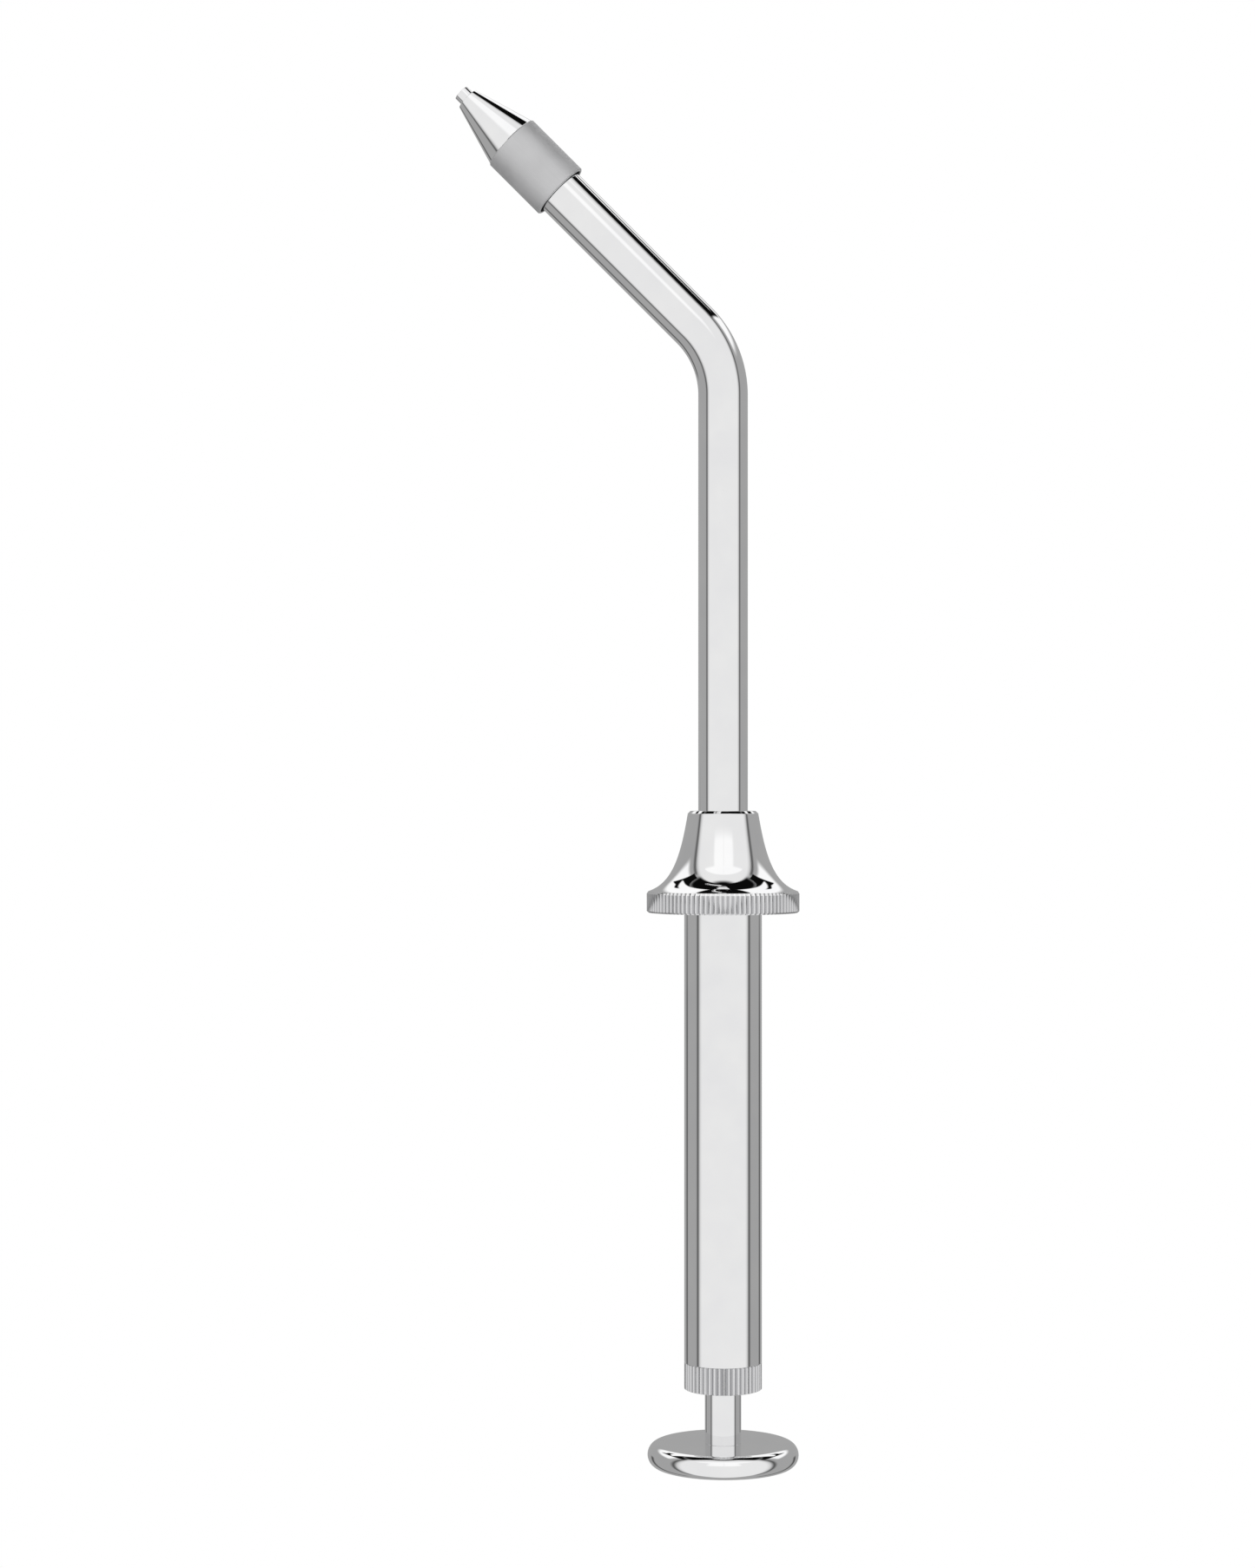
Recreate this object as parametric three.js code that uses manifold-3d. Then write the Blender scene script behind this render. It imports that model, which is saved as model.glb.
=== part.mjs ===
// A curved dental carrier syringe: a knurled-rim finger flange and barrel, a bent delivery tube with a
// screw-on nozzle, and a palm-driven plunger whose flexible shaft pushes a needle out of the nozzle.
// Millimetres, +Z up. The origin is the centre of the palm disc's outer face; the barrel stands along +Z
// and the delivery tube leans towards -X. The syringe is drawn with its plunger pushed home.

import * as THREE from "three";
import { mergeVertices } from "three/addons/utils/BufferGeometryUtils.js";
import Module from "manifold-3d";

const wasm = await Module();
wasm.setup();

// ---------------------------------------------------------------- driving dimensions

// Clearances
const SLIDE_GAP = 0.05; // radial, between pieces that slide or turn in each other
const SEAT_GAP = 0.05; // radial, between pieces pressed or screwed together
const FACE_GAP = 0.1; // axial, between faces that touch

// Stroke and stand-off
const STROKE = 14; // travel of the plunger, and of the needle
const PALM_STANDOFF = 6.5; // bare rod between the palm disc and the end cap, pushed home

// Palm disc
const PALM_D = 18.3;
const PALM_T = 2.8;
const PALM_EDGE = 1; // how far the rounded edge reaches in from the rim

// Plunger rod
const ROD_ROOM = 1.5; // radial space between the rod and the barrel's bore
const ROD_STUB_L = 1.9; // screwed end inside the palm disc
const ROD_STUB_STEP = 0.7; // how far the rod's shoulder stands out past its screwed end
const ROD_SOCKET_L = 9; // bore in the rod's front end that takes the flexible shaft

// End cap
const CAP_KNURL_L = 3.3;
const CAP_SPIGOT_L = 3.6;
const CAP_WALL = 1.2; // floor behind the wiper ring
const CAP_TEETH = 48;
const CAP_POCKET_ROOM = 0.8; // radial space for the wiper ring and the bush round the rod
const WIPER_L = 1.7; // length of the wiper ring's space

// Barrel
const BARREL_STEP = 1.7; // how far the barrel stands out past the delivery tube
const BARREL_WALL = 1;
const BARREL_L = 54.9;
const THREAD_STEP = 0.3; // how far both threads are cut into the barrel's bore
const THREAD_DEPTH = 5.4;

// Finger flange
const RIM_D = 18.5;
const RIM_T = 2.3;
const RIM_TEETH = 96;
const KNURL_DEPTH = 0.22;
const FLARE_H = 10; // height of the trumpet above the rim
const FLARE_LIP = 0.25; // plain step between the knurl and the trumpet
const FLARE_WALL = 1.25; // wall of the trumpet's top round the delivery tube
const FLARE_EDGE = 0.3; // rounding of the trumpet's top edge
const FLANGE_SPIGOT_L = 5;
const FLANGE_SEAT = 0.4; // how deep the barrel's front end sits in the rim

// Delivery tube
const TUBE_D = 6;
const TUBE_WALL = 0.7;
const TUBE_RISE = 50.4; // straight run from the trumpet's top to the bend
const BEND_R = 12;
const BEND_ANGLE = Math.PI / 4;
const ARM_L = 29.3; // straight run from the bend to the tube's front end
const FERRULE_L = 1.6;
const BUMPER_L = 2;

// Nozzle, measured along the arm
const COLLAR_L = 8.4;
const CONE_L = 7.5;
const CONE_TIP_WALL = 0.425; // wall of the cone's front edge round the needle
const SKIRT_GAP = 0.375; // open gap round the tube behind the thread
const SKIRT_WALL = 0.35;
const SKIRT_L = 1.4;
const NOZZLE_THREAD_L = 5;
const NOZZLE_SEAL_T = 0.5;
const NOZZLE_SEAL_GAP = 0.35;

// Needle and flexible shaft
const NEEDLE_D = 2;
const NEEDLE_OUT = 1.1; // how far the needle stands out of the nozzle, pushed home
const NEEDLE_BUSH_L = 4.8;
const NEEDLE_BUSH_LEAD = 2.3; // from the bush to the needle guide, pushed home
const BUSH_WALL = 0.45;
const LINER_WALL = 0.7;
const LINER_LEAD = 0.8; // how far the liner runs past the bend
const FERRULE_GRIP = 1.5; // how deep the ferrule swallows the flexible shaft

// Guide piston and stop collar on the rod
const PISTON_L = 10;
const ORING_T = 0.9;
const ORING_BACK = 5.5; // from the piston's rear face to the middle of its ring
const ORING_GROOVE_L = 1.3;
const PIN_D = 1;
const PIN_BACK = 2.2; // from the rod's front end to the pin's axis
const STOP_COLLAR_WALL = 1.2;
const STOP_COLLAR_L = 4;
const SCREW_D = 1.6;

// Facets round a full turn
const ROUND = 48;
const FINE = 32;
const SMALL = 20;

// ---------------------------------------------------------------- sizes that follow

const TUBE_BORE = TUBE_D - 2 * TUBE_WALL;
const LINER_BORE = TUBE_BORE - 2 * SEAT_GAP - 2 * LINER_WALL;
const COIL_D = LINER_BORE - 2 * SLIDE_GAP;
const CORE_D = COIL_D / 2;
const BARREL_D = TUBE_D + 2 * BARREL_STEP;
const BARREL_BORE = BARREL_D - 2 * BARREL_WALL;
const THREAD_D = BARREL_BORE + 2 * THREAD_STEP;
const ROD_D = BARREL_BORE - 2 * ROD_ROOM;
const CAP_POCKET_D = ROD_D + 2 * CAP_POCKET_ROOM;
const ORING_GROOVE_D = BARREL_BORE - 2 * ORING_T - 4 * SLIDE_GAP;
const FLARE_TOP_D = TUBE_D + 2 * FLARE_WALL;
const FLARE_BASE_D = RIM_D - 2 * KNURL_DEPTH - 2 * SLIDE_GAP;
const NOZZLE_D = TUBE_D + 2 * SKIRT_GAP + 2 * SKIRT_WALL;
const FERRULE_D = TUBE_BORE - 4 * SLIDE_GAP - 2 * BUSH_WALL;

// Places along the barrel's axis

const capBase = PALM_T + PALM_STANDOFF;
const barrelBase = capBase + CAP_KNURL_L;
const barrelTop = barrelBase + BARREL_L;
const rimBase = barrelTop - FLANGE_SEAT;
const rimTop = rimBase + RIM_T;
const flareTop = rimTop + FLARE_H;
const bendBase = flareTop + TUBE_RISE;
const capSpigotTop = barrelBase + CAP_SPIGOT_L;
const ferruleTop = barrelTop - FLANGE_SPIGOT_L - FACE_GAP;
const ferruleBase = ferruleTop - FERRULE_L;
const bumperTop = ferruleBase - FACE_GAP;
const bumperBase = bumperTop - BUMPER_L;
const pistonTop = bumperBase - FACE_GAP;
const pistonBase = pistonTop - PISTON_L;
const rodTop = pistonTop - 2 * FACE_GAP;
const stopCollarBase = capSpigotTop + FACE_GAP + STROKE;

// Places along the arm, from the end of the bend
const collarBase = ARM_L - NOZZLE_THREAD_L - SKIRT_L;
const shoulder = ARM_L + NOZZLE_SEAL_T + 2 * FACE_GAP;
const coneBase = collarBase + COLLAR_L;
const coneTip = coneBase + CONE_L;
const needleTip = coneTip + NEEDLE_OUT;
const bushBase = LINER_LEAD + 4 * FACE_GAP + STROKE;
const bushTop = bushBase + NEEDLE_BUSH_L;
const guideBase = bushTop + NEEDLE_BUSH_LEAD;

// ---------------------------------------------------------------- materials

const paint = (color, metalness, roughness) => new THREE.MeshStandardMaterial({ color, metalness, roughness });
const POLISHED = paint(0xd9dadb, 1, 0.08);
const SATIN = paint(0xbfc0c1, 1, 0.35);
const SPRING = paint(0xb4b6b8, 1, 0.3);
const WHITE_PTFE = paint(0xf0f0ec, 0, 0.5);
const BLACK_RUBBER = paint(0x1c1c1e, 0, 0.5);

// ---------------------------------------------------------------- shape helpers

// A closed manifold solid from a geometry, turned face out if its profile was drawn the other way round.
function solid(geometry) {
  const flat = geometry.clone();
  flat.deleteAttribute("normal");
  flat.deleteAttribute("uv");
  const merged = mergeVertices(flat, 1e-4);
  const vertProperties = merged.attributes.position.array;
  const triVerts = new Uint32Array(merged.index.array);
  const made = new wasm.Manifold(new wasm.Mesh({ numProp: 3, vertProperties, triVerts }));
  if (made.volume() > 0) return made;
  const flipped = triVerts.map((_, i) => triVerts[i - (i % 3) + 2 - (i % 3)]);
  return new wasm.Manifold(new wasm.Mesh({ numProp: 3, vertProperties, triVerts: flipped }));
}

function geometryOf(manifold) {
  const mesh = manifold.getMesh();
  const geometry = new THREE.BufferGeometry();
  geometry.setAttribute("position", new THREE.BufferAttribute(mesh.vertProperties, 3));
  geometry.setIndex(new THREE.BufferAttribute(mesh.triVerts, 1));
  return geometry;
}

// A turned solid. The profile is [radius, height] points: a loop, unless it starts and ends on the axis.
function turned(profile, facets = ROUND) {
  const onAxis = profile[0][0] === 0 && profile.at(-1)[0] === 0;
  const loop = onAxis ? profile : [...profile, profile[0]];
  const points = loop.map(([r, z]) => new THREE.Vector2(r, z));
  return solid(new THREE.LatheGeometry(points, facets).rotateX(Math.PI / 2));
}

function cylinder(diameter, from, to, facets = ROUND) {
  const r = diameter / 2;
  return turned([[0, from], [r, from], [r, to], [0, to]], facets);
}

function ring(outer, inner, from, to, facets = ROUND) {
  const [r, b] = [outer / 2, inner / 2];
  return turned([[b, from], [r, from], [r, to], [b, to]], facets);
}

// A ring of round section, such as an O-ring, round the Z axis.
function torus(diameter, thickness, z) {
  const geometry = new THREE.TorusGeometry(diameter / 2, thickness / 2, 8, FINE);
  return solid(geometry).translate([0, 0, z]);
}

// A straight-knurled disc: V-shaped teeth whose tips lie on the given diameter.
function knurledDisc(diameter, teeth, from, to) {
  const outline = new THREE.Shape();
  for (let i = 0; i < 2 * teeth; i++) {
    const r = diameter / 2 - (i % 2) * KNURL_DEPTH;
    const a = (i * Math.PI) / teeth;
    const [x, y] = [r * Math.cos(a), r * Math.sin(a)];
    if (i === 0) outline.moveTo(x, y);
    else outline.lineTo(x, y);
  }
  outline.closePath();
  const geometry = new THREE.ExtrudeGeometry(outline, { depth: to - from, bevelEnabled: false });
  return solid(geometry).translate([0, 0, from]);
}

// The line of the delivery tube: up the Z axis from a start height, round the bend, then along the arm.
// Its parameter steps evenly over the stations, so the straight runs take one step each.
class BentLine extends THREE.Curve {
  constructor(start, armLength, bendSteps = 10) {
    super();
    const stations = [];
    if (start < bendBase) stations.push([0, start, 0]);
    for (let i = 0; i <= bendSteps; i++) {
      const a = (i / bendSteps) * BEND_ANGLE;
      stations.push([BEND_R * (Math.cos(a) - 1), bendBase + BEND_R * Math.sin(a), a]);
    }
    const [endX, endZ] = stations.at(-1);
    if (armLength > 0)
      stations.push([
        endX - armLength * Math.sin(BEND_ANGLE),
        endZ + armLength * Math.cos(BEND_ANGLE),
        BEND_ANGLE,
      ]);
    this.stations = stations;
    this.steps = stations.length - 1;
  }
  getUtoTmapping(u) {
    return u;
  }
  getPoint(t, target = new THREE.Vector3()) {
    const at = Math.min(t * this.steps, this.steps - 1e-9);
    const [i, share] = [Math.floor(at), at % 1];
    const [[x0, z0], [x1, z1]] = [this.stations[i], this.stations[i + 1]];
    return target.set(x0 + (x1 - x0) * share, 0, z0 + (z1 - z0) * share);
  }
  getTangent(t, target = new THREE.Vector3()) {
    const a = this.stations[Math.round(t * this.steps)][2];
    return target.set(-Math.sin(a), 0, Math.cos(a));
  }
}

// A tube, or a rod where the bore is 0, swept along a bent line.
function swept(diameter, bore, line, facets = FINE) {
  const section = new THREE.Shape().absarc(0, 0, diameter / 2, 0, 2 * Math.PI);
  if (bore > 0) section.holes.push(new THREE.Path().absarc(0, 0, bore / 2, 0, 2 * Math.PI));
  const options = { steps: line.steps, extrudePath: line, curveSegments: facets / 2 };
  return solid(new THREE.ExtrudeGeometry(section, options));
}

// ---------------------------------------------------------------- groups and nodes

const syringe = new THREE.Group();
const arm = new THREE.Group(); // its Z axis runs along the arm, from the end of the bend
arm.position.set(
  BEND_R * (Math.cos(BEND_ANGLE) - 1),
  0,
  bendBase + BEND_R * Math.sin(BEND_ANGLE),
);
arm.rotation.y = -BEND_ANGLE;
syringe.add(arm);

function node(name, manifold, material, group = syringe) {
  const mesh = new THREE.Mesh(geometryOf(manifold), material);
  mesh.name = name;
  group.add(mesh);
}

// ---------------------------------------------------------------- palm disc and plunger rod

function palmDisc() {
  const [half, flat] = [PALM_T / 2, PALM_D / 2 - PALM_EDGE];
  const edge = Array.from({ length: 11 }, (_, i) => {
    const a = -Math.PI / 2 + (i / 10) * Math.PI;
    return [flat + PALM_EDGE * Math.cos(a), half + half * Math.sin(a)];
  });
  const holeR = ROD_D / 2 - ROD_STUB_STEP + SEAT_GAP;
  const holeFloor = PALM_T - ROD_STUB_L - FACE_GAP;
  return turned([[0, 0], ...edge, [holeR, PALM_T], [holeR, holeFloor], [0, holeFloor]]);
}

function plungerRod() {
  const [r, stub, socket] = [ROD_D / 2, ROD_D / 2 - ROD_STUB_STEP, COIL_D / 2 + SEAT_GAP];
  const base = PALM_T + FACE_GAP;
  const body = turned(
    [
      [0, PALM_T - ROD_STUB_L],
      [stub, PALM_T - ROD_STUB_L],
      [stub, base],
      [r, base],
      [r, rodTop],
      [socket, rodTop],
      [socket, rodTop - ROD_SOCKET_L],
      [0, rodTop - ROD_SOCKET_L],
    ],
    FINE,
  );
  return body.subtract(pinHole());
}

// The cross pin runs along Y through the guide piston, the rod and the flexible shaft's rear end.
const pinZ = rodTop - PIN_BACK;
const pin = (diameter, length) =>
  cylinder(diameter, -length / 2, length / 2, SMALL).rotate([90, 0, 0]).translate([0, 0, pinZ]);
const pinHole = () => pin(PIN_D + 2 * SEAT_GAP, BARREL_D);
const pinLength = BARREL_BORE - 6 * SLIDE_GAP;

function guidePiston() {
  const [r, bore, groove] = [BARREL_BORE / 2 - SLIDE_GAP, ROD_D / 2 + SEAT_GAP, ORING_GROOVE_D / 2];
  const low = pistonBase + ORING_BACK - ORING_GROOVE_L / 2;
  const high = low + ORING_GROOVE_L;
  const body = turned([
    [bore, pistonBase],
    [r - 0.3, pistonBase],
    [r, pistonBase + 0.3],
    [r, low],
    [groove, low],
    [groove, high],
    [r, high],
    [r, pistonTop - 0.3],
    [r - 0.3, pistonTop],
    [bore, pistonTop],
  ]);
  return body.subtract(pinHole());
}

const oringD = ORING_GROOVE_D + ORING_T + 2 * SLIDE_GAP; // middle line of the piston's ring

const stopCollarD = ROD_D + 2 * STOP_COLLAR_WALL;

function stopCollar() {
  const body = ring(stopCollarD, ROD_D + 2 * SEAT_GAP, stopCollarBase, stopCollarBase + STOP_COLLAR_L);
  return body.subtract(screw(SCREW_D + 2 * SEAT_GAP, 0, stopCollarD));
}

// The stop collar's grub screw, pointing at the axis from -X.
const screw = (diameter, from, to) =>
  cylinder(diameter, from, to, SMALL)
    .rotate([0, -90, 0])
    .translate([0, 0, stopCollarBase + STOP_COLLAR_L / 2]);

function grubScrew() {
  const [tip, head] = [ROD_D / 2 + SEAT_GAP, stopCollarD / 2 - 2 * SEAT_GAP];
  const socket = screw(SCREW_D / 2, head - 0.6, head + 1);
  return screw(SCREW_D, tip, head).subtract(socket);
}

node("palm_disc", palmDisc(), POLISHED);
node("plunger_rod", plungerRod(), POLISHED);
node("guide_piston", guidePiston(), SATIN);
node("guide_oring", torus(oringD, ORING_T, pistonBase + ORING_BACK), BLACK_RUBBER);
node("shaft_pin", pin(PIN_D, pinLength), SATIN);
node("stop_collar", stopCollar(), SATIN);
node("collar_screw", grubScrew(), SATIN);

// ---------------------------------------------------------------- end cap

function endCap() {
  const spigotR = THREAD_D / 2 - SEAT_GAP;
  const pocketFloor = capBase + CAP_WALL;
  const grip = knurledDisc(BARREL_D, CAP_TEETH, capBase, barrelBase - FACE_GAP);
  const spigot = cylinder(2 * spigotR, capBase + CAP_WALL, capSpigotTop);
  const pocket = cylinder(CAP_POCKET_D, pocketFloor, capSpigotTop + 1);
  const hole = cylinder(ROD_D + 4 * SLIDE_GAP, capBase - 1, pocketFloor + 1, FINE);
  return grip.add(spigot).subtract(pocket).subtract(hole);
}

const bushFrom = capBase + CAP_WALL + WIPER_L;
const capBush = ring(CAP_POCKET_D - 2 * SEAT_GAP, ROD_D + 2 * SLIDE_GAP, bushFrom, capSpigotTop - FACE_GAP);
const wiperT = CAP_POCKET_ROOM - 2 * SEAT_GAP;
const wiperZ = capBase + CAP_WALL + WIPER_L / 2;

node("end_cap", endCap(), SATIN);
node("cap_bush", capBush, WHITE_PTFE);
node("rod_wiper", torus((CAP_POCKET_D + ROD_D) / 2, wiperT, wiperZ), BLACK_RUBBER);

// ---------------------------------------------------------------- barrel and finger flange

function barrel() {
  const [r, bore, thread] = [BARREL_D / 2, BARREL_BORE / 2, THREAD_D / 2];
  return turned([
    [thread, barrelBase],
    [r, barrelBase],
    [r, barrelTop],
    [thread, barrelTop],
    [thread, barrelTop - THREAD_DEPTH],
    [bore, barrelTop - THREAD_DEPTH],
    [bore, barrelBase + THREAD_DEPTH],
    [thread, barrelBase + THREAD_DEPTH],
  ]);
}

// The trumpet's side as [radius, height] points, steep at the top and sweeping out to the rim.
function flareSide(count) {
  const [top, base] = [FLARE_TOP_D / 2, FLARE_BASE_D / 2];
  const [low, high] = [FLARE_LIP, FLARE_H - FLARE_EDGE];
  const curve = new THREE.CubicBezierCurve(
    new THREE.Vector2(base, low),
    new THREE.Vector2(base - 0.6 * (base - top), low + 0.1 * (high - low)),
    new THREE.Vector2(top + 0.18 * (base - top), high - 0.57 * (high - low)),
    new THREE.Vector2(top, high),
  );
  return curve.getPoints(count).map((p) => [p.x, rimTop + p.y]);
}

function fingerFlange() {
  const hole = TUBE_D / 2 + SEAT_GAP;
  const spigotR = THREAD_D / 2 - SEAT_GAP;
  const seatR = BARREL_D / 2 + SEAT_GAP;
  const body = turned([
    [hole, barrelTop - FLANGE_SPIGOT_L],
    [spigotR, barrelTop - FLANGE_SPIGOT_L],
    [spigotR, barrelTop + FACE_GAP],
    [seatR, barrelTop + FACE_GAP],
    [seatR, rimBase],
    [FLARE_BASE_D / 2, rimBase],
    ...flareSide(12),
    [FLARE_TOP_D / 2 - FLARE_EDGE, flareTop],
    [hole, flareTop],
  ]);
  const inside = cylinder(FLARE_BASE_D - 1, rimBase - 1, rimTop + 1);
  const rim = knurledDisc(RIM_D, RIM_TEETH, rimBase, rimTop).subtract(inside);
  return body.add(rim);
}

const tubeLine = new BentLine(ferruleBase, ARM_L);
const linerLine = new BentLine(ferruleBase, LINER_LEAD);
const bendLine = new BentLine(bendBase, 0);

node("barrel", barrel(), POLISHED);
node("finger_flange", fingerFlange(), POLISHED);
node("curved_tube", swept(TUBE_D, TUBE_BORE, tubeLine), POLISHED);
node("tube_ferrule", ring(BARREL_BORE - 2 * SEAT_GAP, TUBE_D + 2 * SEAT_GAP, ferruleBase, ferruleTop), SATIN);
node("guide_liner", swept(TUBE_BORE - 2 * SEAT_GAP, LINER_BORE, linerLine, SMALL), WHITE_PTFE);
node("stop_bumper", ring(BARREL_BORE - 2 * SEAT_GAP, LINER_BORE, bumperBase, bumperTop), WHITE_PTFE);

// ---------------------------------------------------------------- flexible shaft

// A close-wound coil round a core wire, as plain tubes and rods in three lengths: rear, bend and front.

const shaftBase = rodTop - ROD_SOCKET_L + FACE_GAP;
const coilBore = CORE_D + 2 * SEAT_GAP;
const rearCoil = ring(COIL_D, coilBore, shaftBase, bendBase - FACE_GAP, SMALL).subtract(pinHole());
const rearCore = cylinder(CORE_D, shaftBase, bendBase - FACE_GAP, SMALL).subtract(pinHole());

node("flex_coil_rear", rearCoil, SPRING);
node("flex_core_rear", rearCore, SPRING);
node("flex_coil_bend", swept(COIL_D, coilBore, bendLine, SMALL), SPRING);
node("flex_core_bend", swept(CORE_D, 0, bendLine, SMALL), SPRING);
node("flex_coil_front", ring(COIL_D, coilBore, FACE_GAP, bushBase + FERRULE_GRIP, SMALL), SPRING, arm);
node("flex_core_front", cylinder(CORE_D, FACE_GAP, bushBase + FERRULE_GRIP, SMALL), SPRING, arm);

// ---------------------------------------------------------------- needle and its guides

function needleFerrule() {
  const [r, coil, needle] = [FERRULE_D / 2, COIL_D / 2 + SEAT_GAP, NEEDLE_D / 2 + SEAT_GAP];
  const step = bushBase + FERRULE_GRIP + FACE_GAP;
  return turned(
    [[coil, bushBase], [r, bushBase], [r, bushTop], [needle, bushTop], [needle, step], [coil, step]],
    FINE,
  );
}

const needleBore = NEEDLE_D + 2 * SLIDE_GAP;
const needle = cylinder(NEEDLE_D, bushBase + FERRULE_GRIP + 2 * FACE_GAP, needleTip, FINE);
const needleGuide = ring(TUBE_BORE - 2 * SEAT_GAP, needleBore, guideBase, ARM_L, FINE);
const needleBushD = TUBE_BORE - 2 * SLIDE_GAP;
const needleBush = ring(needleBushD, FERRULE_D + 2 * SLIDE_GAP, bushBase + 0.4, bushTop - 0.4, FINE);

node("needle", needle, POLISHED, arm);
node("needle_ferrule", needleFerrule(), SATIN, arm);
node("needle_bush", needleBush, WHITE_PTFE, arm);
node("needle_guide", needleGuide, SATIN, arm);

// ---------------------------------------------------------------- nozzle

function nozzle() {
  const [r, bore, thread] = [NOZZLE_D / 2, needleBore / 2, TUBE_D / 2 + SEAT_GAP];
  const skirt = TUBE_D / 2 + SKIRT_GAP;
  return turned([
    [skirt, collarBase],
    [r - 0.1, collarBase],
    [r, collarBase + 0.1],
    [r, coneBase - 0.1],
    [r - 0.1, coneBase],
    [NEEDLE_D / 2 + CONE_TIP_WALL, coneTip],
    [bore, coneTip],
    [bore, shoulder],
    [thread, shoulder],
    [thread, collarBase + SKIRT_L],
    [skirt, collarBase + SKIRT_L],
  ]);
}

const sealFrom = ARM_L + FACE_GAP;
const nozzleSeal = ring(TUBE_D, NEEDLE_D + 2 * NOZZLE_SEAL_GAP, sealFrom, sealFrom + NOZZLE_SEAL_T, FINE);

node("nozzle", nozzle(), POLISHED, arm);
node("nozzle_seal", nozzleSeal, WHITE_PTFE, arm);

export default syringe;
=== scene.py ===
import math

import bpy
import numpy as np
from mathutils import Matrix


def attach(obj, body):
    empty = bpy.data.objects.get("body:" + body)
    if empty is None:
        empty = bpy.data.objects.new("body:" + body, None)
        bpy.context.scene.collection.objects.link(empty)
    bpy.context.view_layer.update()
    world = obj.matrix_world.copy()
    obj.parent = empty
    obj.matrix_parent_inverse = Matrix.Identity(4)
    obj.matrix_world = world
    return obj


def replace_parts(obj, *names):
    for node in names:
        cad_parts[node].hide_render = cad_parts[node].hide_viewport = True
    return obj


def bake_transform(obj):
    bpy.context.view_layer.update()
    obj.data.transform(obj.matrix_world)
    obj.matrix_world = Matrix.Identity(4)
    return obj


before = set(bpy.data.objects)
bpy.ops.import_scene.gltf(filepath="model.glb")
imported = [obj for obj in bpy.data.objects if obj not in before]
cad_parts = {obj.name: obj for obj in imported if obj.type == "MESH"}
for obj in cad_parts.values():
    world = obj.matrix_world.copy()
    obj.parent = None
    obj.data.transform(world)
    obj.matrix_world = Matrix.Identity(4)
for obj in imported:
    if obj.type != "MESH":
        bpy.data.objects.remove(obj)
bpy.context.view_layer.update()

# A curved dental carrier syringe in polished stainless steel. Every piece is a turned or drawn shape: it is
# worked out straight along the Z axis, in millimetres, and the pieces that follow the delivery tube are then
# carried round its bend. The sizes are those of the CAD frame, save for small edges and the knurls' depth.

MM = 0.001

# ---------------------------------------------------------------- sizes, in millimetres

STROKE = 14.0
PALM_D, PALM_T, PALM_EDGE = 18.3, 2.8, 1.25
ROD_D, ROD_STUB_D, ROD_TOP, ROD_SOCKET = 4.4, 3.0, 58.4, 49.4
CAP_BASE, CAP_TOP, SPIGOT_TOP, CAP_TEETH = 9.3, 12.58, 16.2, 48
BARREL_D, BARREL_BORE, BARREL_BASE, BARREL_TOP = 9.4, 7.4, 12.6, 67.5
THREAD_D, THREAD_L, THREAD_PITCH = 8.0, 5.4, 0.75
RIM_D, RIM_BASE, RIM_TOP, RIM_TEETH = 18.5, 67.1, 69.4, 96
KNURL_DEPTH = 0.19
FLARE_TOP, FLANGE_FOOT = 79.4, 62.5
TUBE_D, TUBE_BORE, TUBE_FOOT = 6.0, 4.6, 60.8
BEND_BASE, BEND_R, BEND_ANGLE = 129.8, 12.0, math.pi / 4
ARM = BEND_BASE + BEND_R * BEND_ANGLE  # where the arm starts, measured along the tube's line
TUBE_TIP = 29.3
NOZZLE_D, COLLAR_BASE, SKIRT_TOP, SHOULDER = 7.45, 22.9, 24.3, 30.0
CONE_BASE, CONE_TIP, CONE_TIP_D, NEEDLE_BORE = 31.3, 38.8, 2.85, 2.1
COLLAR_TEETH = 124
NEEDLE_D, NEEDLE_FROM, NEEDLE_TIP = 2.0, 16.9, 39.9
COIL_D, COIL_WIRE, CORE_D = 3.0, 0.68, 1.5
PISTON_D, PISTON_BASE, PISTON_TOP = 7.3, 48.6, 58.6
RING_GROOVE_D, RING_GROOVE_BASE, RING_GROOVE_TOP = 5.4, 53.45, 54.75
PIN_D, PIN_HOLE_D, PIN_Z = 1.0, 1.1, 56.2
STOP_COLLAR_D, STOP_COLLAR_BASE, STOP_COLLAR_TOP = 6.8, 30.3, 34.3
SCREW_TAP_D, SCREW_Z = 1.7, 32.3
ON_ROD_BORE = 4.5  # bore of the pieces that sit on the rod
TUBE_FERRULE_D, TUBE_FERRULE_TOP = 7.3, 62.4
LINER_D, LINER_BORE, LINER_END = 4.5, 3.1, ARM + 0.8
FERRULE_D, FERRULE_BASE, FERRULE_STEP, FERRULE_TOP = 3.5, ARM + 15.2, ARM + 16.8, ARM + 20.0
CRIMPS = (ARM + 15.9, ARM + 17.9, ARM + 19.0)

# Plain rings: outer and inner diameter, the two ends along the tube's line, and how much the edges are rounded.
CAP_BUSH = (5.9, ON_ROD_BORE, 12.2, 16.1, 0.15)
STOP_BUMPER = (PISTON_D, LINER_BORE, 58.7, 60.7, 0.2)
NEEDLE_BUSH = (LINER_D, 3.6, ARM + 15.6, ARM + 19.6, 0.12)
NEEDLE_GUIDE = (LINER_D, NEEDLE_BORE, ARM + 22.3, ARM + TUBE_TIP, 0.15)
NOZZLE_SEAL = (TUBE_D, 2.7, ARM + 29.4, ARM + 29.9, 0.05)
# Moulded rings: diameter of the section's middle line, thickness of the section, and place along the tube's line.
GUIDE_ORING = (6.4, 0.9, 54.1)
ROD_WIPER = (5.2, 0.7, 11.35)
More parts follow.
